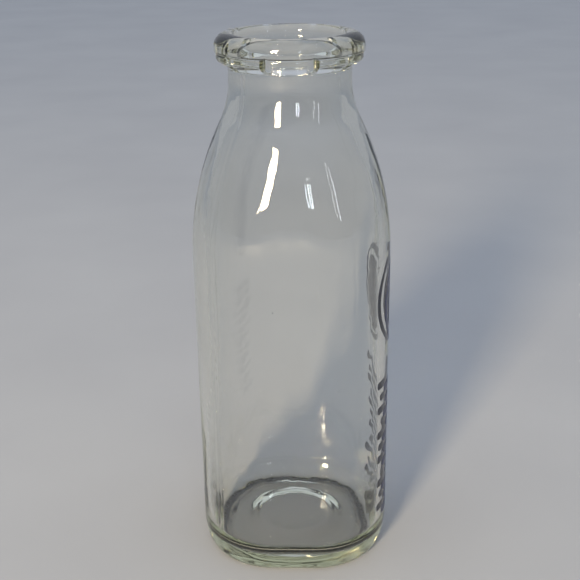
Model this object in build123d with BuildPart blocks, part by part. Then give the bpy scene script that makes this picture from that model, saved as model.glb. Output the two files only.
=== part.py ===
from build123d import *
import math
import os

# One-pint square glass milk bottle, upright. +Z is up and the origin is the
# middle of the bearing ring that it stands on. The printed panel faces +X.
# The glass is split where the mould that forms it is split.

# Driving dimensions, mm
body_width = 68.2
body_corner_radius = 27.0
bottle_height = 187.4
lip_radius = 25.0
cap_seat_radius = 17.7
throat_radius = 16.4
neck_radius = 20.65

# Heights of the mould's parting planes
heel_top = 14.0
body_top = 108.0
shoulder_top = 164.0
neck_top = 176.4
cap_seat_height = 181.0

# Wall thicknesses
body_wall_thickness = 3.2
neck_wall_thickness = neck_radius - throat_radius

# The side profile of the shoulder: a hollow arc under the neck runs into a
# round one that ends upright on the panel.
hollow_arc_radius = 32.0
round_arc_radius = 95.0
round_arc_start = 115.5
square_fades_to = 160.0
shoulder_stations = 11
least_flat = 0.15

# Finish: the lip bead and the notched ring under it
lip_top_outer_fillet = 4.2
lip_top_inner_fillet = 2.4
lip_underside_fillet = 0.5
ring_radius = 24.5
ring_slope_height = 2.6
notch_count = 10
notch_width = 3.3
notch_start_angle = 1.5

# Heel and base; the heel's round is taller than it is deep
heel_round_height = 12.5
heel_inset = 3.6
heel_stations = 9
cavity_fillet = 8.0
cavity_floor = 4.4
base_plate_radius = 24.0
base_recess = 0.8
push_up = 2.4
bearing_ring_width = 3.6
knurl_width = 2.2
knurl_depth = 0.25
knurl_count = 90
knurl_groove = 0.9

# Raised marks under the base and along the seams
mark_height = 0.35
mark_ring_radius = 15.0
mark_ring_width = 0.9
mark_dot_count = 8
mark_dot_radius = 1.1
seam_height = 0.25
seam_width = 0.6

# Fired enamel print
enamel_thickness = 0.1
print_width = 34.0
print_top = 114.0
print_line = 2.2
print_reach = 6.0
badge_height = 35.0
bars_drop = 13.2
bar_lengths = [34.0, 30.0, 34.0, 28.0, 34.0, 32.0, 34.0, 26.0, 34.0, 30.0, 34.0]
bar_height = 3.0
bar_pitch = 5.0

half_width = body_width / 2
flat_half_length = half_width - body_corner_radius
arcs_together = hollow_arc_radius + round_arc_radius
shoulder_angle = math.acos(1 - (half_width - neck_radius) / arcs_together)
arcs_meet = round_arc_start + round_arc_radius * math.sin(shoulder_angle)
neck_start = round_arc_start + arcs_together * math.sin(shoulder_angle)


def side(height):
    """Half the bottle's width, across the panels, at a height."""
    if height <= round_arc_start:
        return half_width
    if height <= arcs_meet:
        rise = height - round_arc_start
        return half_width - round_arc_radius + math.sqrt(round_arc_radius**2 - rise**2)
    if height <= neck_start:
        drop = neck_start - height
        return neck_radius + hollow_arc_radius - math.sqrt(hollow_arc_radius**2 - drop**2)
    return neck_radius


def flat(height):
    """Half the length of the flat stretch of each side at a height."""
    reach = (height - body_top) / (square_fades_to - body_top)
    reach = min(max(reach, 0.0), 1.0)
    faded = reach * reach * (3 - 2 * reach)
    return max(flat_half_length * (1 - faded), least_flat)


def wall(height):
    """Thickness of the glass at a height."""
    reach = (height - heel_top) / (neck_start - heel_top)
    reach = min(max(reach, 0.0), 1.0)
    return body_wall_thickness + (neck_wall_thickness - body_wall_thickness) * reach


def rounded_square(half_side, flat_half):
    """Draw a square with round corners that leave a flat stretch on each side."""
    RectangleRounded(2 * half_side, 2 * half_side, half_side - flat_half)


def evenly_spaced(low, high, count):
    """Evenly spaced values from low to high, with both."""
    return [low + (high - low) * step / (count - 1) for step in range(count)]


# The lip bead: a thick round bead, with the cap's recess inside it
with BuildPart() as lip_bead:
    with BuildSketch(Plane.XZ) as bead_profile:
        with Locations((cap_seat_radius, cap_seat_height)):
            Rectangle(
                lip_radius - cap_seat_radius,
                bottle_height - cap_seat_height,
                align=(Align.MIN, Align.MIN),
            )
        top_corners = bead_profile.vertices().group_by(Axis.Z)[-1].sort_by(Axis.X)
        under_corner = bead_profile.vertices().group_by(Axis.Z)[0].sort_by(Axis.X)[-1]
        fillet(top_corners[-1], lip_top_outer_fillet)
        fillet(top_corners[0], lip_top_inner_fillet)
        fillet(under_corner, lip_underside_fillet)
    revolve(axis=Axis.Z)
lip_bead.part.label = "lip_bead"

# The notched ring under the bead; its top is the ledge that the cap sits on
with BuildPart() as neck_ring:
    with BuildSketch(Plane.XZ):
        with BuildLine():
            Polyline(
                (throat_radius, neck_top),
                (neck_radius, neck_top),
                (ring_radius, neck_top + ring_slope_height),
                (ring_radius, cap_seat_height),
                (throat_radius, cap_seat_height),
                close=True,
            )
        make_face()
    revolve(axis=Axis.Z)
    ring_depth = ring_radius - neck_radius
    with BuildSketch(Plane.XY.offset(neck_top)):
        with PolarLocations(neck_radius + ring_depth, notch_count, notch_start_angle):
            Rectangle(2 * ring_depth, notch_width)
    extrude(amount=cap_seat_height - neck_top, mode=Mode.SUBTRACT)
neck_ring.part.label = "neck_ring"

# The round neck
with BuildPart() as neck:
    with BuildSketch(Plane.XZ):
        with BuildLine():
            mid_height = (shoulder_top + neck_start) / 2
            ThreePointArc(
                (side(shoulder_top), shoulder_top),
                (side(mid_height), mid_height),
                (neck_radius, neck_start),
            )
            Polyline(
                (neck_radius, neck_start),
                (neck_radius, neck_top),
                (throat_radius, neck_top),
                (throat_radius, neck_start),
            )
            ThreePointArc(
                (throat_radius, neck_start),
                (side(mid_height) - wall(mid_height), mid_height),
                (side(shoulder_top) - wall(shoulder_top), shoulder_top),
            )
            Line(
                (side(shoulder_top) - wall(shoulder_top), shoulder_top),
                (side(shoulder_top), shoulder_top),
            )
        make_face()
    revolve(axis=Axis.Z)
neck.part.label = "neck"

# The shoulder: square at the body, round at the neck
with BuildPart() as shoulder:
    for height in evenly_spaced(body_top, shoulder_top, shoulder_stations):
        with BuildSketch(Plane.XY.offset(height)):
            rounded_square(side(height), flat(height))
    loft()
    for height in evenly_spaced(body_top, shoulder_top, shoulder_stations):
        with BuildSketch(Plane.XY.offset(height)):
            rounded_square(side(height) - wall(height), flat(height))
    loft(mode=Mode.SUBTRACT)
shoulder.part.label = "shoulder"

# The body: four flat panels joined by round corners
with BuildPart() as body_wall:
    for height in (heel_top, body_top):
        with BuildSketch(Plane.XY.offset(height)):
            rounded_square(half_width, flat(height))
    loft()
    for height in (heel_top, body_top):
        with BuildSketch(Plane.XY.offset(height)):
            rounded_square(half_width - wall(height), flat(height))
    loft(mode=Mode.SUBTRACT)
body_wall.part.label = "body_wall"

# The heel: the thick rounded foot of the walls, with the bearing ring
bearing_half_width = half_width - heel_inset
with BuildPart() as heel:
    for lean in evenly_spaced(math.pi / 2, 0, heel_stations):
        height = heel_round_height * (1 - math.sin(lean))
        with BuildSketch(Plane.XY.offset(height)):
            rounded_square(bearing_half_width + heel_inset * math.cos(lean), flat_half_length)
    loft()
    with BuildSketch(Plane.XY.offset(heel_round_height)):
        rounded_square(half_width, flat_half_length)
    extrude(amount=heel_top - heel_round_height)
    cavity_half_width = half_width - wall(heel_top)
    with BuildSketch(Plane.XY.offset(cavity_floor)):
        rounded_square(cavity_half_width, flat_half_length)
    extrude(amount=heel_top - cavity_floor, mode=Mode.SUBTRACT)
    floor_edges = heel.edges().filter_by_position(Axis.Z, cavity_floor, cavity_floor)
    fillet(floor_edges, cavity_fillet)
    with BuildSketch():
        rounded_square(bearing_half_width - bearing_ring_width, flat_half_length)
    extrude(amount=base_recess, mode=Mode.SUBTRACT)
    with BuildSketch():
        Circle(base_plate_radius)
    extrude(amount=heel_top, mode=Mode.SUBTRACT)
    # Short grooves across the outer part of the bearing ring
    with BuildSketch():
        with PolarLocations(bearing_half_width, knurl_count):
            Rectangle(half_width / 2, knurl_groove)
        with BuildSketch(mode=Mode.INTERSECT):
            rounded_square(bearing_half_width, flat_half_length)
            with BuildSketch(mode=Mode.SUBTRACT):
                rounded_square(bearing_half_width - knurl_width, flat_half_length)
    extrude(amount=knurl_depth, mode=Mode.SUBTRACT)
heel.part.label = "heel"

# The base plate: the bottom of the bottle, domed up in the middle
dome_radius = (base_plate_radius**2 + push_up**2) / (2 * push_up)


def dome(radius):
    """Height of the dome above its rim, at a distance from its middle."""
    return push_up - dome_radius + math.sqrt(dome_radius**2 - radius**2)


with BuildPart() as base_plate:
    with BuildSketch(Plane.XZ):
        with BuildLine():
            half_radius = base_plate_radius / 2
            Line((0, cavity_floor + push_up), (0, base_recess + push_up))
            ThreePointArc(
                (0, base_recess + push_up),
                (half_radius, base_recess + dome(half_radius)),
                (base_plate_radius, base_recess),
            )
            Line((base_plate_radius, base_recess), (base_plate_radius, cavity_floor))
            ThreePointArc(
                (base_plate_radius, cavity_floor),
                (half_radius, cavity_floor + dome(half_radius)),
                (0, cavity_floor + push_up),
            )
        make_face()
    revolve(axis=Axis.Z)
base_plate.part.label = "base_plate"

# Raised marks on the underside of the base plate: a ring with dots round it
with BuildPart() as base_mark:
    ring_bottom = base_recess + dome(mark_ring_radius) - mark_height
    with BuildSketch(Plane.XY.offset(ring_bottom)):
        Circle(mark_ring_radius + mark_ring_width / 2)
        Circle(mark_ring_radius - mark_ring_width / 2, mode=Mode.SUBTRACT)
    extrude(amount=2 * mark_height)
    dots_radius = mark_ring_radius / 2
    dots_bottom = base_recess + dome(dots_radius) - mark_height
    with BuildSketch(Plane.XY.offset(dots_bottom)):
        with PolarLocations(dots_radius, mark_dot_count):
            Circle(mark_dot_radius)
    extrude(amount=2 * mark_height)
    add(base_plate.part, mode=Mode.SUBTRACT)
base_mark.part.label = "base_mark"

# The outside of the body and shoulder, and the same a seam's height further out
with BuildPart() as outside:
    with BuildSketch(Plane.XY.offset(heel_top)):
        rounded_square(half_width, flat_half_length)
    extrude(amount=body_top - heel_top)
    for height in evenly_spaced(body_top, shoulder_top, shoulder_stations):
        with BuildSketch(Plane.XY.offset(height)):
            rounded_square(side(height), flat(height))
    loft()

with BuildPart() as outside_of_seam:
    with BuildSketch(Plane.XY.offset(heel_top)):
        rounded_square(half_width + seam_height, flat_half_length)
    extrude(amount=body_top - heel_top)
    for height in evenly_spaced(body_top, shoulder_top, shoulder_stations):
        with BuildSketch(Plane.XY.offset(height)):
            rounded_square(side(height) + seam_height, flat(height))
    loft()

# Mould seams: thin ridges up two opposite corners, from the heel to the neck
with BuildPart() as mould_seams:
    with BuildSketch(Plane.XY.offset(heel_top)):
        Rectangle(2 * body_width, seam_width, rotation=45)
    extrude(amount=shoulder_top - heel_top)
    add(outside_of_seam.part, mode=Mode.INTERSECT)
    add(outside.part, mode=Mode.SUBTRACT)
mould_seams.part.label = "mould_seams"

# The outside again, the enamel's thickness further out
with BuildPart() as outside_of_enamel:
    with BuildSketch(Plane.XY.offset(heel_top)):
        rounded_square(half_width + enamel_thickness, flat_half_length)
    extrude(amount=body_top - heel_top)
    for height in evenly_spaced(body_top, shoulder_top, shoulder_stations):
        with BuildSketch(Plane.XY.offset(height)):
            rounded_square(side(height) + enamel_thickness, flat(height))
    loft()

# The enamel print on the +X panel, bent round its corners: an oval badge in a
# ring, over plain bars. The plane's own x runs along +Y and its y runs up.
# Each shape is cut from a block that reaches out through the panel, and only
# the skin of the block outside the glass is kept.
print_plane = Plane(origin=(half_width - print_reach, 0, 0), x_dir=(0, 1, 0), z_dir=(1, 0, 0))
badge_middle = print_top - badge_height / 2

with BuildPart() as print_border:
    with BuildSketch(print_plane):
        with Locations((0, badge_middle)):
            Ellipse(print_width / 2, badge_height / 2)
            Ellipse(
                print_width / 2 - print_line,
                badge_height / 2 - print_line,
                mode=Mode.SUBTRACT,
            )
    extrude(amount=2 * print_reach)
    add(outside_of_enamel.part, mode=Mode.INTERSECT)
    add(outside.part, mode=Mode.SUBTRACT)
print_border.part.label = "print_border"

with BuildPart() as print_badge:
    with BuildSketch(print_plane):
        with Locations((0, badge_middle)):
            Ellipse(
                print_width / 2 - 2 * print_line,
                badge_height / 2 - 2 * print_line,
            )
    extrude(amount=2 * print_reach)
    add(outside_of_enamel.part, mode=Mode.INTERSECT)
    add(outside.part, mode=Mode.SUBTRACT)
print_badge.part.label = "print_badge"

with BuildPart() as print_bars:
    with BuildSketch(print_plane):
        for row, length in enumerate(bar_lengths):
            bar_middle = print_top - badge_height - bars_drop - row * bar_pitch
            with Locations((0, bar_middle)):
                SlotOverall(length, bar_height)
    extrude(amount=2 * print_reach)
    add(outside_of_enamel.part, mode=Mode.INTERSECT)
    add(outside.part, mode=Mode.SUBTRACT)
print_bars.part.label = "print_bars"

# One STEP file for each piece
os.makedirs("parts", exist_ok=True)
export_step(lip_bead.part, "parts/lip_bead.step")
export_step(neck_ring.part, "parts/neck_ring.step")
export_step(neck.part, "parts/neck.step")
export_step(shoulder.part, "parts/shoulder.step")
export_step(body_wall.part, "parts/body_wall.step")
export_step(heel.part, "parts/heel.step")
export_step(base_plate.part, "parts/base_plate.step")
export_step(base_mark.part, "parts/base_mark.step")
export_step(mould_seams.part, "parts/mould_seams.step")
export_step(print_border.part, "parts/print_border.step")
export_step(print_badge.part, "parts/print_badge.step")
export_step(print_bars.part, "parts/print_bars.step")
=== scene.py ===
"""Looks of a square glass milk bottle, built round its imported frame.

The glass is one continuous skin: it runs from the middle of the underside, out
over the bearing ring, up the outside, over the lip, down the inside and back to
the middle of the floor of the bottle, as the one piece of glass really does.
"""

import logging
import math
import random
from collections.abc import Callable, Iterator
from contextlib import contextmanager
from dataclasses import dataclass, field
from enum import Enum

import bmesh
import bpy
from mathutils import Matrix, Vector


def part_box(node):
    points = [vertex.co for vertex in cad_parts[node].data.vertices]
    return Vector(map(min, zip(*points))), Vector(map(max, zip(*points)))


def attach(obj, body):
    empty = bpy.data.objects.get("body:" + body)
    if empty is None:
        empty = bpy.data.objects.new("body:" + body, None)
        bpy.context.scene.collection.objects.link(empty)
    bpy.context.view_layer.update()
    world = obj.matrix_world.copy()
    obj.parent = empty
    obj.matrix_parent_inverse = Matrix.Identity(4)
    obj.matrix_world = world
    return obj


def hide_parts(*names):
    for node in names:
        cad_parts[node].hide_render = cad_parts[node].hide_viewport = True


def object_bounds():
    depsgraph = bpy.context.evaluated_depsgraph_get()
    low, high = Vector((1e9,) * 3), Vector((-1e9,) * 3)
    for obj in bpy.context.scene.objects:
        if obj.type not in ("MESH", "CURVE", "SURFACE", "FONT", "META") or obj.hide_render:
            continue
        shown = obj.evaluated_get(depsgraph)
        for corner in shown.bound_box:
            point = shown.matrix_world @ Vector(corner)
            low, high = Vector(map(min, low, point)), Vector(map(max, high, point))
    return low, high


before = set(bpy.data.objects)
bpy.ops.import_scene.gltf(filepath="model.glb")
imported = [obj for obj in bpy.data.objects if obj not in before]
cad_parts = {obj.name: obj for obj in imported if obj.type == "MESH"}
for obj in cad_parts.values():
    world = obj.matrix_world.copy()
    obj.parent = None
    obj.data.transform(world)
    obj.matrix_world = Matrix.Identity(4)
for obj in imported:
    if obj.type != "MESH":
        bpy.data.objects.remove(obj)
CAD_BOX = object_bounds()
BODY = "root"
MM = 0.001

Colour = tuple[float, float, float]
Corner = tuple[float, float, float]
Outline = list[tuple[float, float]]

log = logging.getLogger("milk_bottle")


class Slot(Enum):
    """The record's material slots."""

    GLASS = "glass"
    ENAMEL = "enamel"


# Tools


def deselect_everything() -> None:
    """Leave no object selected, so that an operator acts only on its own piece."""
    bpy.ops.object.select_all(action="DESELECT")


@contextmanager
def editing(piece: bpy.types.Object) -> Iterator[None]:
    """Edit one piece, with all of it deselected, and leave edit mode after.

    Args:
        piece: The mesh object to edit.
    """
    deselect_everything()
    piece.select_set(True)
    bpy.context.view_layer.objects.active = piece
    bpy.ops.object.mode_set(mode="EDIT")
    bpy.ops.mesh.select_mode(type="VERT")
    bpy.ops.mesh.select_all(action="DESELECT")
    yield
    bpy.ops.object.mode_set(mode="OBJECT")


def pick(piece: bpy.types.Object, wanted: Callable[[bmesh.types.BMVert], bool]) -> int:
    """Select the vertices that pass a test, and only those.

    Args:
        piece: The object in edit mode.
        wanted: Says of a vertex whether it is to be selected.

    Returns:
        How many vertices are selected.
    """
    bpy.ops.mesh.select_all(action="DESELECT")
    mesh = bmesh.from_edit_mesh(piece.data)
    count = 0
    for vertex in mesh.verts:
        if wanted(vertex):
            vertex.select_set(True)
            count += 1
    mesh.select_flush(True)
    bmesh.update_edit_mesh(piece.data)
    return count


def settle(piece: bpy.types.Object) -> None:
    """Put a piece's place into its mesh, so that its object sits at the origin."""
    deselect_everything()
    piece.select_set(True)
    bpy.context.view_layer.objects.active = piece
    bpy.ops.object.transform_apply(location=True, rotation=True, scale=True)


def apply_modifiers(piece: bpy.types.Object) -> None:
    """Apply every modifier of a piece, in order."""
    deselect_everything()
    piece.select_set(True)
    bpy.context.view_layer.objects.active = piece
    for modifier in list(piece.modifiers):
        bpy.ops.object.modifier_apply(modifier=modifier.name)


def hand_over(piece: bpy.types.Object, nodes: tuple[str, ...]) -> None:
    """Tell the frame what a finished piece rides on and stands for.

    Args:
        piece: The finished piece.
        nodes: The CAD nodes that it replaces.
    """
    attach(piece, BODY)
    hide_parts(*nodes)
    log.info("%s: %d faces, stands for %s", piece.name, len(piece.data.polygons), ", ".join(nodes))


def smooth_step(value: float) -> float:
    """Ease from 0 to 1 as a value goes from 0 to 1."""
    value = min(max(value, 0.0), 1.0)
    return value * value * (3 - 2 * value)


def polar(vertex: bmesh.types.BMVert) -> float:
    """Angle of a vertex about the bottle's axis, in degrees from +X."""
    return math.degrees(math.atan2(vertex.co.y, vertex.co.x))


# Finishes


class NodeTree:
    """A short way to add and join nodes in a material or a node group."""

    def __init__(self, tree: bpy.types.NodeTree) -> None:
        """Start on an empty tree."""
        self.tree = tree
        tree.nodes.clear()

    def add(self, kind: str, **settings: object) -> bpy.types.Node:
        """Add a node.

        Args:
            kind: The node's type without its "ShaderNode" prefix.
            **settings: Attributes of the node, or values of its inputs where no
                attribute has that name; an underscore stands for a space.

        Returns:
            The new node.
        """
        node = self.tree.nodes.new("ShaderNode" + kind)
        for name, value in settings.items():
            if hasattr(node, name):
                setattr(node, name, value)
            else:
                node.inputs[name.replace("_", " ")].default_value = value
        return node

    def join(self, source: bpy.types.NodeSocket, target: bpy.types.NodeSocket) -> None:
        """Link an output to an input."""
        self.tree.links.new(source, target)


def new_material(name: str) -> tuple[bpy.types.Material, NodeTree]:
    """Make an empty node material.

    Args:
        name: The material's name.

    Returns:
        The material and its tree.
    """
    material = bpy.data.materials.new(name)
    material.use_nodes = True
    return material, NodeTree(material.node_tree)


# Height as a share of the bottle's, and how much wear there is: the first peak is
# where upright bottles meet at the heel, the second where they meet at the shoulder.
WEAR_STOPS = ((0.02, 0.0), (0.05, 1.0), (0.10, 0.15), (0.50, 0.1), (0.59, 1.0), (0.66, 0.05))
SCUFF_SCALE = 420.0
SCUFF_STRETCH = (1.0, 1.0, 0.25)
PEEL_SCALE = 95.0


def worn_surface() -> bpy.types.NodeTree:
    """Make the node group for a moulded, handled surface.

    It gives a faint orange peel with fine scratches as a normal, and a wear mask
    for the two bands where upright bottles rub against each other.

    Returns:
        The group, with its inputs Peel and Wear and its outputs Normal and Wear.
    """
    group = bpy.data.node_groups.new("worn_surface", "ShaderNodeTree")
    for name in ("Peel", "Wear"):
        group.interface.new_socket(name, in_out="INPUT", socket_type="NodeSocketFloat")
    group.interface.new_socket("Normal", in_out="OUTPUT", socket_type="NodeSocketVector")
    group.interface.new_socket("Wear", in_out="OUTPUT", socket_type="NodeSocketFloat")
    nodes = NodeTree(group)
    given = nodes.tree.nodes.new("NodeGroupInput")
    result = nodes.tree.nodes.new("NodeGroupOutput")
    place = nodes.add("TexCoord")
    split = nodes.add("SeparateXYZ")
    nodes.join(place.outputs["Object"], split.inputs["Vector"])
    bands = nodes.add("ValToRGB")
    elements = bands.color_ramp.elements
    for element, (position, level) in zip(elements, (WEAR_STOPS[0], WEAR_STOPS[-1])):
        element.position, element.color = position, (level, level, level, 1.0)
    for position, level in WEAR_STOPS[1:-1]:
        elements.new(position).color = (level, level, level, 1.0)
    height = nodes.add("MapRange", From_Min=0.0, From_Max=CAD_BOX[1][2])
    nodes.join(split.outputs["Z"], height.inputs["Value"])
    nodes.join(height.outputs["Result"], bands.inputs["Fac"])
    scuffs = nodes.add("TexNoise", Scale=SCUFF_SCALE, Detail=5.0, Roughness=0.7)
    stretch = nodes.add("Mapping", vector_type="POINT")
    stretch.inputs["Scale"].default_value = SCUFF_STRETCH
    nodes.join(place.outputs["Object"], stretch.inputs["Vector"])
    nodes.join(stretch.outputs["Vector"], scuffs.inputs["Vector"])
    picked = nodes.add("MapRange", From_Min=0.60, From_Max=0.74)
    nodes.join(scuffs.outputs["Fac"], picked.inputs["Value"])
    banded = nodes.add("Math", operation="MULTIPLY")
    nodes.join(picked.outputs["Result"], banded.inputs[0])
    nodes.join(bands.outputs["Color"], banded.inputs[1])
    wear = nodes.add("Math", operation="MULTIPLY")
    nodes.join(banded.outputs["Value"], wear.inputs[0])
    nodes.join(given.outputs["Wear"], wear.inputs[1])
    peel = nodes.add("TexNoise", Scale=PEEL_SCALE, Detail=2.0)
    nodes.join(place.outputs["Object"], peel.inputs["Vector"])
    bump = nodes.add("Bump", Distance=1.0 * MM)
    nodes.join(given.outputs["Peel"], bump.inputs["Strength"])
    nodes.join(peel.outputs["Fac"], bump.inputs["Height"])
    nodes.join(bump.outputs["Normal"], result.inputs["Normal"])
    nodes.join(wear.outputs["Value"], result.inputs["Wear"])
    return group


@dataclass(frozen=True)
class GlassFinish:
    """Clear soda-lime glass with a faint olive tint, orange peel and scuffs."""

    refraction: float = 1.52
    tint: Colour = (0.45, 0.45, 0.03)
    tint_per_metre: float = 17.0
    orange_peel: float = 0.13
    wear: float = 0.30

    def make(self) -> bpy.types.Material:
        """Build the material."""
        material, nodes = new_material("clear_glass")
        surface = nodes.add("Group", node_tree=worn_surface())
        surface.inputs["Peel"].default_value = self.orange_peel
        surface.inputs["Wear"].default_value = self.wear
        shader = nodes.add(
            "BsdfPrincipled",
            Base_Color=(1.0, 1.0, 1.0, 1.0),
            IOR=self.refraction,
            Transmission_Weight=1.0,
        )
        depth = nodes.add("VolumeAbsorption", Color=(*self.tint, 1.0), Density=self.tint_per_metre)
        output = nodes.add("OutputMaterial")
        nodes.join(surface.outputs["Normal"], shader.inputs["Normal"])
        nodes.join(surface.outputs["Wear"], shader.inputs["Roughness"])
        nodes.join(shader.outputs["BSDF"], output.inputs["Surface"])
        nodes.join(depth.outputs["Volume"], output.inputs["Volume"])
        return material


@dataclass(frozen=True)
class EnamelFinish:
    """Fired ceramic enamel, screen printed on the glass and rubbed thin in places."""

    ink: Colour = (0.010, 0.016, 0.065)
    thin_ink: Colour = (0.045, 0.060, 0.150)
    gloss: float = 0.28
    rubbed: float = 0.55

    def make(self) -> bpy.types.Material:
        """Build the material."""
        material, nodes = new_material("fired_enamel")
        place = nodes.add("TexCoord")
        mottle = nodes.add("TexNoise", Scale=900.0, Detail=4.0)
        nodes.join(place.outputs["Object"], mottle.inputs["Vector"])
        thin = nodes.add("MapRange", From_Min=0.48, From_Max=0.70)
        nodes.join(mottle.outputs["Fac"], thin.inputs["Value"])
        colour = nodes.add("Mix", data_type="RGBA")
        colour.inputs[6].default_value = (*self.ink, 1.0)
        colour.inputs[7].default_value = (*self.thin_ink, 1.0)
        nodes.join(thin.outputs["Result"], colour.inputs["Factor"])
        rough = nodes.add("MapRange", To_Min=self.gloss, To_Max=self.rubbed)
        nodes.join(thin.outputs["Result"], rough.inputs["Value"])
        pores = nodes.add("Bump", Strength=0.3, Distance=0.00005)
        nodes.join(mottle.outputs["Fac"], pores.inputs["Height"])
        shader = nodes.add("BsdfPrincipled")
        output = nodes.add("OutputMaterial")
        nodes.join(colour.outputs[2], shader.inputs["Base Color"])
        nodes.join(rough.outputs["Result"], shader.inputs["Roughness"])
        nodes.join(pores.outputs["Normal"], shader.inputs["Normal"])
        nodes.join(shader.outputs["BSDF"], output.inputs["Surface"])
        return material


@dataclass(frozen=True)
class FloorFinish:
    """Plain pale matt studio floor, very faintly mottled."""

    pale: Colour = (0.50, 0.50, 0.49)
    dim: Colour = (0.42, 0.42, 0.42)

    def make(self) -> bpy.types.Material:
        """Build the material."""
        material, nodes = new_material("pale_floor")
        place = nodes.add("TexCoord")
        cloud = nodes.add("TexNoise", Scale=9.0, Detail=3.0)
        nodes.join(place.outputs["Object"], cloud.inputs["Vector"])
        colour = nodes.add("Mix", data_type="RGBA")
        colour.inputs[6].default_value = (*self.dim, 1.0)
        colour.inputs[7].default_value = (*self.pale, 1.0)
        nodes.join(cloud.outputs["Fac"], colour.inputs["Factor"])
        shader = nodes.add("BsdfPrincipled", Roughness=0.9)
        output = nodes.add("OutputMaterial")
        nodes.join(colour.outputs[2], shader.inputs["Base Color"])
        nodes.join(shader.outputs["BSDF"], output.inputs["Surface"])
        return material


# The bottle's glass


@dataclass(frozen=True)
class Station:
    """One ring of the glass skin, from half its width across the flats."""

    half_width: float
    height: float
    roundness: float


@dataclass
class BottleForm:
    """Sizes of the bottle, in metres, from its frame and a few wall and edge sizes."""

    wall: float = 3.2 * MM
    hollow_arc: float = 32.0 * MM
    round_arc: float = 95.0 * MM
    round_arc_start: float = 115.5 * MM
    square_until: float = 108.0 * MM
    round_from: float = 160.0 * MM
    corner: float = 27.0 * MM
    heel_round: float = 12.5 * MM
    heel_inset: float = 3.6 * MM
    bearing_width: float = 3.6 * MM
    base_recess: float = 0.8 * MM
    push_up: float = 2.4 * MM
    floor_height: float = 4.4 * MM
    cavity_round: float = 8.0 * MM
    plate_flat: float = 12.0 * MM
    plate_slope_end: float = 21.0 * MM
    neck: float = 20.65 * MM
    cap_seat: float = 17.7 * MM
    throat: float = 16.4 * MM
    ring_slope: float = 2.6 * MM
    lip_underside_round: float = 0.5 * MM
    lip_outer_round: float = 4.2 * MM
    lip_inner_round: float = 2.4 * MM
    seat_round: float = 0.35 * MM
    half_width: float = field(init=False)
    ring: float = field(init=False)
    lip: float = field(init=False)
    plate: float = field(init=False)
    neck_top: float = field(init=False)
    ring_top: float = field(init=False)
    height: float = field(init=False)

    def __post_init__(self) -> None:
        """Read the frame's sizes."""
        self.half_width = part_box("body_wall")[1][0]
        self.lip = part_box("lip_bead")[1][0]
        self.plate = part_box("base_plate")[1][0]
        self.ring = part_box("neck_ring")[1][1]
        self.neck_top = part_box("neck_ring")[0][2]
        self.ring_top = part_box("lip_bead")[0][2]
        self.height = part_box("lip_bead")[1][2]

    def outside(self, height: float) -> float:
        """Half the outside width of the body, shoulder and neck at a height."""
        both = self.hollow_arc + self.round_arc
        lean = math.acos(1 - (self.half_width - self.neck) / both)
        meet = self.round_arc_start + self.round_arc * math.sin(lean)
        neck_start = self.round_arc_start + both * math.sin(lean)
        if height <= self.round_arc_start:
            return self.half_width
        if height <= meet:
            rise = height - self.round_arc_start
            return self.half_width - self.round_arc + math.sqrt(self.round_arc**2 - rise**2)
        if height < neck_start:
            drop = neck_start - height
            return self.neck + self.hollow_arc - math.sqrt(self.hollow_arc**2 - drop**2)
        return self.neck

    def inside(self, height: float) -> float:
        """Half the inside width at a height: the wall thickens a little upwards."""
        low = self.floor_height + self.cavity_round
        reach = min(max((height - low) / (self.round_from - low), 0.0), 1.0)
        thickness = self.wall + (self.neck - self.throat - self.wall) * reach
        return self.outside(height) - thickness

    def roundness(self, height: float) -> float:
        """How far the section has turned from square to round at a height."""
        return smooth_step((height - self.square_until) / (self.round_from - self.square_until))

    def section_radius(self, angle: float, half_width: float, roundness: float) -> float:
        """Distance of a section's outline from the axis.

        Args:
            angle: Angle about the axis, in radians.
            half_width: Half the section's width across the flats.
            roundness: 0 for the body's square with round corners, 1 for a circle.

        Returns:
            The distance.
        """
        flat = (self.half_width - self.corner) * (1 - roundness)
        x, y = abs(math.cos(angle)), abs(math.sin(angle))
        x, y = max(x, y), min(x, y)
        if half_width * y / x <= flat:
            return half_width / x
        along = (x + y) * flat
        corner = half_width - flat
        return along + math.sqrt(along * along - 2 * flat * flat + corner * corner)


def arc(
    centre: tuple[float, float], radius: float, start: float, end: float, steps: int
) -> Outline:
    """Points along an arc, without its first one.

    Args:
        centre: Half width and height of the arc's centre.
        radius: Its radius.
        start: Angle of its start, in degrees from outwards, counter-clockwise.
        end: Angle of its end.
        steps: How many points.

    Returns:
        A list of half widths and heights.
    """
    points = []
    for step in range(1, steps + 1):
        angle = math.radians(start + (end - start) * step / steps)
        points.append((centre[0] + radius * math.cos(angle), centre[1] + radius * math.sin(angle)))
    return points


def evenly(start: float, end: float, steps: int) -> list[float]:
    """Evenly spaced values after start, up to and with end."""
    return [start + (end - start) * step / steps for step in range(1, steps + 1)]


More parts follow.
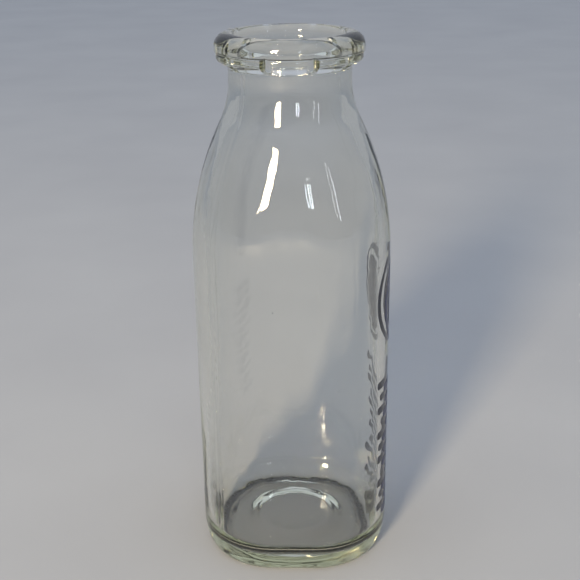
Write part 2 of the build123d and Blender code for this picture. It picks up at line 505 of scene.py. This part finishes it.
@dataclass
class GlassBottle:
    """The glass: a continuous skin of rings, with its moulded details."""

    form: BottleForm
    columns: int = 240
    notch_count: int = 10
    notch_half_angle: float = 3.9
    notch_start: float = 1.5
    notch_floor: float = 0.6 * MM
    notch_arch: float = 0.5 * MM
    groove: float = 0.35 * MM
    seam_height: float = 0.16 * MM
    knurl_depth: float = 0.35 * MM
    knurl_spacing: int = 3
    mark_height: float = 0.12 * MM
    mark_width: float = 3.0 * MM
    mark_ring: float = 15.0 * MM
    step_width: float = 4.5 * MM
    dot_count: int = 8
    dot_radius: float = 1.2 * MM
    ripple: float = 0.9 * MM
    ripple_size: float = 16.0 * MM
    ripple_stretch: float = 4.0
    ripple_fade_low: float = 20.0 * MM
    ripple_fade_high: float = 30.0 * MM
    seed_count: int = 12
    smooth_below: float = 50.0

    def build(self) -> bpy.types.Object:
        """Model the glass.

        Returns:
            The finished glass, undressed.
        """
        glass = self.first_ring()
        with editing(glass):
            self.pick_first_ring(glass)
            self.run_rings(glass, self.underside_stations())
            self.close_pole()
            self.pick_first_ring(glass)
            self.run_rings(glass, self.outside_stations())
            self.run_rings(glass, self.lip_stations())
            self.run_rings(glass, self.inside_stations())
            self.close_pole()
            bpy.ops.mesh.select_all(action="SELECT")
            bpy.ops.mesh.normals_make_consistent(inside=False)
            self.press_notches(glass)
            self.raise_seams(glass)
            self.groove_bearing_ring(glass)
            self.raise_dots(glass)
        self.ripple_inside(glass)
        self.add_seeds(glass)
        deselect_everything()
        glass.select_set(True)
        bpy.context.view_layer.objects.active = glass
        bpy.ops.object.shade_smooth_by_angle(angle=math.radians(self.smooth_below))
        return glass

    def first_ring(self) -> bpy.types.Object:
        """Start with the square ring where the heel's round meets the wall."""
        deselect_everything()
        bpy.ops.mesh.primitive_circle_add(
            vertices=self.columns, radius=1.0, location=(0, 0, self.form.heel_round)
        )
        ring = bpy.context.object
        ring.name = "bottle_glass"
        settle(ring)
        for vertex in ring.data.vertices:
            angle = math.atan2(vertex.co.y, vertex.co.x)
            reach = self.form.section_radius(angle, self.form.half_width, 0.0)
            vertex.co.x, vertex.co.y = reach * math.cos(angle), reach * math.sin(angle)
        return ring

    def run_rings(self, glass: bpy.types.Object, stations: list[Station]) -> None:
        """Extrude the selected ring through a run of stations.

        Args:
            glass: The glass, in edit mode with one ring selected.
            stations: The rings to come, in order.
        """
        for station in stations:
            mesh = bmesh.from_edit_mesh(glass.data)
            ring = [vertex.co for vertex in mesh.verts if vertex.select]
            rise = station.height - ring[0].z
            bpy.ops.mesh.extrude_edges_move(TRANSFORM_OT_translate={"value": (0, 0, rise)})
            mesh = bmesh.from_edit_mesh(glass.data)
            for vertex in mesh.verts:
                if vertex.select:
                    angle = math.atan2(vertex.co.y, vertex.co.x)
                    reach = self.form.section_radius(angle, station.half_width, station.roundness)
                    vertex.co.x, vertex.co.y = reach * math.cos(angle), reach * math.sin(angle)
            bmesh.update_edit_mesh(glass.data)

    def close_pole(self) -> None:
        """Draw the selected ring together at the axis."""
        bpy.ops.mesh.merge(type="CENTER")

    def pick_first_ring(self, glass: bpy.types.Object) -> None:
        """Select the open ring that the skin started from."""
        start = self.form.heel_round
        pick(glass, lambda v: (v.is_wire or v.is_boundary) and abs(v.co.z - start) < 1e-6)

    def underside_stations(self) -> list[Station]:
        """Rings from the wall's foot round the heel and under the base."""
        form = self.form
        bearing = form.half_width - form.heel_inset
        inner = bearing - form.bearing_width
        stations = []
        for lean in evenly(0.0, math.pi / 2, 16):
            width = bearing + form.heel_inset * math.cos(lean)
            stations.append(Station(width, form.heel_round * (1 - math.sin(lean)), 0.0))
        stations += [Station(w, 0.0, 0.0) for w in evenly(bearing, inner, 8)]
        for reach in evenly(0.0, 1.0, 6):
            width = inner - self.step_width * reach
            stations.append(Station(width, form.base_recess * smooth_step(reach), 0.9 * reach))
        for radius in self.plate_radii():
            away = (radius - self.mark_ring) / (self.mark_width / 2)
            mark = self.mark_height * (1 - smooth_step(abs(away)))
            stations.append(Station(radius, form.base_recess + self.dome(radius) - mark, 1.0))
        return stations

    def plate_radii(self) -> list[float]:
        """Radii of the rings of the underside of the base plate, inwards."""
        edge = self.mark_width / 2
        rim, dots_outer, dots_inner, pole = 21.5 * MM, 9.4 * MM, 5.6 * MM, 0.5 * MM
        radii = evenly(rim, self.mark_ring + edge, 5)
        radii += evenly(self.mark_ring + edge, self.mark_ring - edge, 6)
        radii += evenly(self.mark_ring - edge, dots_outer, 4)
        radii += evenly(dots_outer, dots_inner, 10)
        return radii + evenly(dots_inner, pole, 5)

    def dome(self, radius: float) -> float:
        """Height of the pushed-up base above its rim at a radius."""
        form = self.form
        reach = (radius - form.plate_flat) / (form.plate_slope_end - form.plate_flat)
        return form.push_up * (1 - smooth_step(reach))

    def outside_stations(self) -> list[Station]:
        """Rings up the outside, from the heel to the top of the notched ring."""
        form = self.form
        heights = evenly(form.heel_round, form.square_until, 32)
        heights += evenly(form.square_until, form.neck_top - 0.6 * MM, 46)
        stations = [Station(form.outside(z), z, form.roundness(z)) for z in heights]
        slope_top = form.neck_top + form.ring_slope
        mid = (form.neck + form.ring) / 2
        middle = (form.neck_top + slope_top) / 2
        edge = 0.35 * MM
        corners = [
            (form.neck + 0.06 * MM, form.neck_top - 0.15 * MM),
            (form.neck + 0.30 * MM, form.neck_top + 0.12 * MM),
            (mid, middle),
            (form.ring - 0.60 * MM, slope_top - 0.55 * MM),
            (form.ring - 0.16 * MM, slope_top - 0.08 * MM),
            (form.ring, slope_top + edge),
        ]
        upright = evenly(slope_top + edge, form.ring_top - 2 * edge / 3, 3)
        corners += [(form.ring, z) for z in upright]
        corners.append((form.ring - 0.10 * MM, form.ring_top - 0.10 * MM))
        return stations + [Station(w, z, 1.0) for w, z in corners]

    def lip_stations(self) -> list[Station]:
        """Rings over the bead and down to the throat."""
        form = self.form
        under, outer = form.lip_underside_round, form.lip_outer_round
        inner, small = form.lip_inner_round, form.seat_round
        groove = form.ring - self.groove
        points = [(groove, form.ring_top - 0.04 * MM), (groove, form.ring_top + 0.04 * MM)]
        points.append((form.lip - under, form.ring_top + 0.12 * MM))
        points += arc((form.lip - under, form.ring_top + 0.12 * MM + under), under, -90, 0, 5)
        points.append((form.lip, form.height - outer))
        points += arc((form.lip - outer, form.height - outer), outer, 0, 90, 14)
        points.append((form.cap_seat + inner, form.height))
        points += arc((form.cap_seat + inner, form.height - inner), inner, 90, 180, 8)
        low = form.ring_top + small
        points += [(form.cap_seat, z) for z in evenly(form.height - inner, low, 3)]
        points += arc((form.cap_seat - small, low), small, 0, -90, 3)
        points.append((form.throat + small, form.ring_top))
        points += arc((form.throat + small, form.ring_top - small), small, 90, 180, 4)
        return [Station(w, z, 1.0) for w, z in points]

    def inside_stations(self) -> list[Station]:
        """Rings down the inside and over the floor of the bottle."""
        form = self.form
        top = form.ring_top - form.seat_round
        low = form.floor_height + form.cavity_round
        heights = evenly(top, form.square_until, 50) + evenly(form.square_until, low, 32)
        stations = [Station(form.inside(z), z, form.roundness(z)) for z in heights]
        wall = form.inside(low)
        turn = arc((wall - form.cavity_round, low), form.cavity_round, 0, -90, 12)
        stations += [Station(w, z, 0.0) for w, z in turn]
        rim = turn[-1][0]
        for radius in evenly(rim, 0.8 * MM, 16):
            away = min(radius / form.plate, 1.0)
            height = form.floor_height + form.push_up * (1 - away**2)
            stations.append(Station(radius, height, 1.0 - smooth_step((away - 0.6) / 0.5)))
        return stations

    def press_notches(self, glass: bpy.types.Object) -> None:
        """Press the notches of the ring in, one ring of vertices at a time.

        Their arched tops reach a little way up into the bead's underside.
        """
        form = self.form
        floor = form.neck + self.notch_floor
        pitch = 360.0 / self.notch_count
        mesh = bmesh.from_edit_mesh(glass.data)
        low, high = form.neck_top, form.ring_top + self.notch_arch
        outer = [v for v in mesh.verts if low < v.co.z < high and v.co.xy.length > floor]
        for height in sorted({round(vertex.co.z, 7) for vertex in outer}):
            rise = max((height - form.ring_top) / self.notch_arch, 0.0)
            reach = self.notch_half_angle * math.sqrt(max(1.0 - rise * rise, 0.0))

            def in_notch(
                vertex: bmesh.types.BMVert, height: float = height, reach: float = reach
            ) -> bool:
                """Say whether a vertex of this height lies in a notch."""
                away = (polar(vertex) - self.notch_start + pitch / 2) % pitch - pitch / 2
                level = abs(vertex.co.z - height) < 1e-7
                return level and abs(away) < reach and vertex.co.xy.length > floor

            if not pick(glass, in_notch):
                continue
            mesh = bmesh.from_edit_mesh(glass.data)
            picked = next(vertex for vertex in mesh.verts if vertex.select)
            shrink = floor / picked.co.xy.length
            bpy.ops.transform.resize(
                value=(shrink, shrink, 1.0), center_override=(0.0, 0.0, height)
            )

    def raise_seams(self, glass: bpy.types.Object) -> None:
        """Raise the mould's seams along two opposite corners."""
        form = self.form
        for side in (1.0, -1.0):
            def on_seam(vertex: bmesh.types.BMVert, side: float = side) -> bool:
                """Say whether a vertex lies on this seam."""
                outward = vertex.normal.x * vertex.co.x + vertex.normal.y * vertex.co.y > 0
                inline = abs(vertex.co.x - vertex.co.y) < 1e-5 and vertex.co.x * side > 0.01
                tall = form.heel_round / 2 < vertex.co.z < form.neck_top - 0.2 * MM
                return outward and inline and tall

            pick(glass, on_seam)
            step = side * self.seam_height * math.sqrt(0.5)
            bpy.ops.transform.translate(value=(step, step, 0.0))

    def groove_bearing_ring(self, glass: bpy.types.Object) -> None:
        """Press short radial grooves into the outer part of the bearing ring."""
        form = self.form
        bearing = form.half_width - form.heel_inset
        step = 360.0 / self.columns
        bpy.ops.mesh.select_all(action="DESELECT")
        mesh = bmesh.from_edit_mesh(glass.data)
        for face in mesh.faces:
            middle = face.calc_center_median()
            if middle.z > 0.01 * MM:
                continue
            angle = math.atan2(middle.y, middle.x)
            inset = form.section_radius(angle, bearing, 0.0) - middle.xy.length
            column = round(math.degrees(angle) / step - 0.5) % self.knurl_spacing
            face.select_set(column == 0 and 0.3 * MM < inset < 2.4 * MM)
        bmesh.update_edit_mesh(glass.data)
        bpy.ops.mesh.inset(thickness=0.10 * MM)
        bpy.ops.transform.translate(value=(0.0, 0.0, self.knurl_depth))

    def raise_dots(self, glass: bpy.types.Object) -> None:
        """Raise a ring of plain dots on the underside of the base plate."""
        ring = self.mark_ring / 2
        turns = [math.tau * dot / self.dot_count for dot in range(self.dot_count)]
        centres = [Vector((ring * math.cos(t), ring * math.sin(t))) for t in turns]

        def on_dot(vertex: bmesh.types.BMVert) -> bool:
            """Say whether a vertex of the underside lies on a dot."""
            if vertex.co.z > self.form.floor_height / 2:
                return False
            return any((vertex.co.xy - centre).length < self.dot_radius for centre in centres)

        pick(glass, on_dot)
        bpy.ops.transform.translate(value=(0.0, 0.0, -self.mark_height))

    def ripple_inside(self, glass: bpy.types.Object) -> None:
        """Make the blown inner wall uneven, in long upright ripples."""
        form = self.form
        group = glass.vertex_groups.new(name="inner_wall")
        low, high = form.floor_height + 3 * MM, form.neck_top
        for vertex in glass.data.vertices:
            inward = vertex.normal.x * vertex.co.x + vertex.normal.y * vertex.co.y < 0
            if inward and low < vertex.co.z < high:
                fade = smooth_step((vertex.co.z - low) / self.ripple_fade_low)
                fade *= smooth_step((high - vertex.co.z) / self.ripple_fade_high)
                group.add([vertex.index], fade, "REPLACE")
        deselect_everything()
        bpy.ops.object.empty_add(location=(0, 0, 0))
        stretch = bpy.context.object
        stretch.scale = (1.0, 1.0, self.ripple_stretch)
        cloud = bpy.data.textures.new("glass_ripple", "CLOUDS")
        cloud.noise_scale = self.ripple_size
        cloud.noise_depth = 1
        modifier = glass.modifiers.new("ripple", "DISPLACE")
        modifier.texture = cloud
        modifier.texture_coords = "OBJECT"
        modifier.texture_coords_object = stretch
        modifier.vertex_group = group.name
        modifier.direction = "NORMAL"
        modifier.mid_level = 0.5
        modifier.strength = self.ripple
        apply_modifiers(glass)
        bpy.data.objects.remove(stretch)
        glass.vertex_groups.clear()

    def add_seeds(self, glass: bpy.types.Object) -> None:
        """Leave a few small seeds, which are bubbles, inside the wall."""
        draw = random.Random(7)
        form = self.form
        seeds = []
        for _ in range(self.seed_count):
            height = draw.uniform(14 * MM, 150 * MM)
            angle = draw.uniform(0, math.tau)
            middle = form.outside(height) - form.wall / 2
            reach = form.section_radius(angle, middle, form.roundness(height))
            radius = draw.uniform(0.12, 0.30) * MM
            deselect_everything()
            bpy.ops.mesh.primitive_ico_sphere_add(
                subdivisions=2,
                radius=radius,
                location=(reach * math.cos(angle), reach * math.sin(angle), height),
            )
            seed = bpy.context.object
            seed.scale.z = draw.uniform(1.2, 2.4)
            settle(seed)
            with editing(seed):
                bpy.ops.mesh.select_all(action="SELECT")
                bpy.ops.mesh.flip_normals()
            seeds.append(seed)
        deselect_everything()
        for seed in seeds:
            seed.select_set(True)
        glass.select_set(True)
        bpy.context.view_layer.objects.active = glass
        bpy.ops.object.join()

    def dress(self, glass: bpy.types.Object) -> None:
        """Give the glass its finish and hand it over."""
        glass.data.materials.clear()
        glass.data.materials.append(GlassFinish().make())
        nodes = (
            "lip_bead", "neck_ring", "neck", "shoulder", "body_wall",
            "heel", "base_plate", "base_mark", "mould_seams",
        )
        hand_over(glass, nodes)


# The enamel print


@dataclass
class EnamelPrint:
    """Fired enamel on one panel: an oval badge in a ring, over plain bars."""

    glass: bpy.types.Object
    thickness: float = 0.1 * MM
    sunk: float = 0.03 * MM
    line: float = 2.2 * MM
    bar_lengths: tuple[float, ...] = (34, 30, 34, 28, 34, 32, 34, 26, 34, 30, 34)
    bar_height: float = 3.0 * MM
    bar_pitch: float = 5.0 * MM
    wobble: float = 0.25 * MM
    wobble_size: float = 2.0 * MM
    standoff: float = 40.0 * MM

    def build(self) -> None:
        """Print the three parts and dress them."""
        enamel = EnamelFinish().make()
        for name, draw in (
            ("print_border", self.draw_border),
            ("print_badge", self.draw_badge),
            ("print_bars", self.draw_bars),
        ):
            low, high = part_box(name)
            deselect_everything()
            piece = draw(low, high)
            piece.name = "enamel_" + name.removeprefix("print_")
            self.lay_on_glass(piece)
            piece.data.materials.clear()
            piece.data.materials.append(enamel)
            hand_over(piece, (name,))

    def oval(self, low: Corner, high: Corner) -> bpy.types.Object:
        """Add a flat oval as large as a node, standing in front of the panel."""
        middle = (self.standoff, (low[1] + high[1]) / 2, (low[2] + high[2]) / 2)
        bpy.ops.mesh.primitive_circle_add(
            vertices=144, radius=1.0, fill_type="NGON", location=middle,
            rotation=(0, math.radians(90), 0),
        )
        oval = bpy.context.object
        oval.scale = ((high[2] - low[2]) / 2, (high[1] - low[1]) / 2, 1.0)
        settle(oval)
        return oval

    def draw_border(self, low: Corner, high: Corner) -> bpy.types.Object:
        """Draw the ring round the badge."""
        ring = self.oval(low, high)
        with editing(ring):
            bpy.ops.mesh.select_all(action="SELECT")
            for _ in range(3):
                bpy.ops.mesh.inset(thickness=self.line / 3)
            bpy.ops.mesh.delete(type="FACE")
        return ring

    def draw_badge(self, low: Corner, high: Corner) -> bpy.types.Object:
        """Draw the solid oval."""
        badge = self.oval(low, high)
        with editing(badge):
            bpy.ops.mesh.select_all(action="SELECT")
            for _ in range(8):
                bpy.ops.mesh.inset(thickness=(high[2] - low[2]) / 18)
        return badge

    def draw_bars(self, low: Corner, high: Corner) -> bpy.types.Object:
        """Draw the bars, each with round ends and fine upright cuts to bend at."""
        bars = []
        top = high[2] - self.bar_height / 2
        for row, length in enumerate(self.bar_lengths):
            deselect_everything()
            bpy.ops.mesh.primitive_plane_add(
                size=1.0, location=(self.standoff, 0, top - row * self.bar_pitch),
                rotation=(0, math.radians(90), 0),
            )
            bar = bpy.context.object
            bar.scale = (self.bar_height, length * MM, 1.0)
            settle(bar)
            with editing(bar):
                bpy.ops.mesh.select_all(action="SELECT")
                bpy.ops.mesh.bevel(offset=self.bar_height * 0.48, segments=8, affect="VERTICES")
                for cut in range(-16, 17):
                    bpy.ops.mesh.select_all(action="SELECT")
                    bpy.ops.mesh.bisect(plane_co=(self.standoff, cut * MM, 0), plane_no=(0, 1, 0))
            bars.append(bar)
        deselect_everything()
        for bar in bars:
            bar.select_set(True)
        bpy.context.view_layer.objects.active = bars[0]
        bpy.ops.object.join()
        return bars[0]

    def lay_on_glass(self, piece: bpy.types.Object) -> None:
        """Press a flat drawing on to the panel and give it its thickness."""
        wobble = bpy.data.textures.new(piece.name + "_edge", "CLOUDS")
        wobble.noise_scale = self.wobble_size
        uneven = piece.modifiers.new("uneven", "DISPLACE")
        uneven.texture = wobble
        uneven.direction = "Z"
        uneven.strength = self.wobble
        wrap = piece.modifiers.new("wrap", "SHRINKWRAP")
        wrap.target = self.glass
        wrap.wrap_method = "PROJECT"
        wrap.use_project_x = True
        wrap.use_positive_direction = False
        wrap.use_negative_direction = True
        wrap.offset = self.thickness - self.sunk
        wrap.wrap_mode = "ABOVE_SURFACE"
        solid = piece.modifiers.new("solid", "SOLIDIFY")
        solid.thickness = self.thickness
        solid.offset = -1.0
        apply_modifiers(piece)
        with editing(piece):
            bpy.ops.mesh.select_all(action="SELECT")
            bpy.ops.mesh.remove_doubles(threshold=1e-6)
            bpy.ops.mesh.normals_make_consistent(inside=False)


# The studio


@dataclass(frozen=True)
class Lamp:
    """A rectangular light that faces the middle of the bottle.

    Its azimuth is in degrees to the right of the camera, seen from the bottle, and
    its elevation in degrees above the bottle's middle. Its colour is linear.
    """

    name: str
    azimuth: float
    elevation: float
    distance: float
    size: tuple[float, float]
    watts: float
    colour: Colour


LAMPS = (
    Lamp("key", -23, 22, 1.8, (0.26, 0.62), 33.0, (1.0, 0.84, 0.60)),
    Lamp("window_left", 11, 17, 1.7, (0.035, 0.28), 0.9, (0.82, 0.92, 1.0)),
    Lamp("window_right", 15, 17, 1.7, (0.035, 0.28), 0.9, (0.82, 0.92, 1.0)),
    Lamp("cool_strip", 50, 18, 1.5, (0.03, 0.5), 0.5, (0.9, 0.95, 1.0)),
)


@dataclass
class Studio:
    """Floor, lights and camera."""

    floor_radius: float = 12.0
    light_aim: float = 0.1
    lens: float = 65.0
    sensor: float = 36.0
    distance: float = 0.3507
    eye_height: float = 0.2310
    look_down: float = 20.98
    orbit: float = 2.0
    roll: float = -0.76
    aside: float = -0.95 * MM
    front_light: Colour = (0.05, 0.05, 0.055)
    back_light: Colour = (0.36, 0.38, 0.42)
    top_light: Colour = (0.66, 0.74, 0.90)

    def build(self) -> None:
        """Set up the studio."""
        self.lay_floor()
        self.set_world()
        self.hang_lights()
        self.place_camera()

    def lay_floor(self) -> None:
        """Lay a plain pale floor that reaches far past every camera."""
        deselect_everything()
        bpy.ops.mesh.primitive_circle_add(vertices=96, radius=self.floor_radius, fill_type="NGON")
        floor = bpy.context.object
        floor.name = "studio_floor"
        floor.data.materials.append(FloorFinish().make())

    def set_world(self) -> None:
        """Light the studio from above and behind, and leave it dim in front."""
        world = bpy.data.worlds.new("studio")
        world.use_nodes = True
        bpy.context.scene.world = world
        nodes = NodeTree(world.node_tree)
        place = nodes.add("TexCoord")
        split = nodes.add("SeparateXYZ")
        nodes.join(place.outputs["Generated"], split.inputs["Vector"])
        level = nodes.add("ValToRGB")
        level.color_ramp.interpolation = "EASE"
        front, behind = level.color_ramp.elements
        front.position, front.color = 0.0, (*self.front_light, 1.0)
        behind.position, behind.color = 0.7, (*self.back_light, 1.0)
        along = nodes.add("MapRange", From_Min=-0.6, From_Max=1.0)
        nodes.join(split.outputs["Y"], along.inputs["Value"])
        nodes.join(along.outputs["Result"], level.inputs["Fac"])
        rise = nodes.add("MapRange", From_Min=0.15, From_Max=0.9)
        rise.interpolation_type = "SMOOTHSTEP"
        nodes.join(split.outputs["Z"], rise.inputs["Value"])
        sky = nodes.add("Mix", data_type="RGBA")
        sky.inputs[7].default_value = (*self.top_light, 1.0)
        nodes.join(level.outputs["Color"], sky.inputs[6])
        nodes.join(rise.outputs["Result"], sky.inputs["Factor"])
        background = nodes.add("Background", Strength=1.0)
        output = nodes.add("OutputWorld")
        nodes.join(sky.outputs[2], background.inputs["Color"])
        nodes.join(background.outputs["Background"], output.inputs["Surface"])

    def hang_lights(self) -> None:
        """Hang the warm key, the two panes of the window and the cool strip."""
        middle = Vector((0, 0, self.light_aim))
        for lamp in LAMPS:
            data = bpy.data.lights.new(lamp.name, "AREA")
            data.shape = "RECTANGLE"
            data.size, data.size_y = lamp.size
            data.energy = lamp.watts
            data.color = lamp.colour
            light = bpy.data.objects.new(lamp.name, data)
            bpy.context.collection.objects.link(light)
            turn = math.radians(-90 + self.orbit + lamp.azimuth)
            lift = math.radians(lamp.elevation)
            level = math.cos(lift)
            away = Vector((math.cos(turn) * level, math.sin(turn) * level, math.sin(lift)))
            light.location = middle + away * lamp.distance
            light.rotation_euler = away.to_track_quat("Z", "Y").to_euler()

    def place_camera(self) -> None:
        """Stand the camera in front, a little to the right, looking down."""
        scene = bpy.context.scene
        data = bpy.data.cameras.new("camera")
        data.lens = self.lens
        data.sensor_width = self.sensor
        data.clip_start = 0.01
        data.clip_end = 50.0
        camera = bpy.data.objects.new("camera", data)
        scene.collection.objects.link(camera)
        turn = math.radians(self.orbit)
        place = Vector((math.sin(turn), -math.cos(turn), 0)) * self.distance
        place += Vector((math.cos(turn), math.sin(turn), 0)) * self.aside
        place.z = self.eye_height
        aim = Matrix.Rotation(turn, 4, "Z")
        tilt = Matrix.Rotation(math.radians(90 - self.look_down), 4, "X")
        spin = Matrix.Rotation(math.radians(self.roll), 4, "Z")
        camera.matrix_world = Matrix.Translation(place) @ aim @ tilt @ spin
        scene.camera = camera


def set_rendering() -> None:
    """Let light pass through many glass walls, and clean up the noise."""
    scene = bpy.context.scene
    scene.view_settings.view_transform = "Standard"
    cycles = scene.cycles
    cycles.max_bounces = 32
    cycles.transmission_bounces = 32
    cycles.glossy_bounces = 16
    cycles.transparent_max_bounces = 16
    cycles.caustics_refractive = True
    cycles.caustics_reflective = True
    cycles.sample_clamp_indirect = 120.0
    cycles.use_denoising = True


def main() -> None:
    """Build the bottle and the studio."""
    logging.basicConfig(level=logging.INFO, format="%(name)s: %(message)s")
    glass = GlassBottle(BottleForm())
    piece = glass.build()
    glass.dress(piece)
    EnamelPrint(piece).build()
    Studio().build()
    set_rendering()


if __name__ == "__main__":
    main()
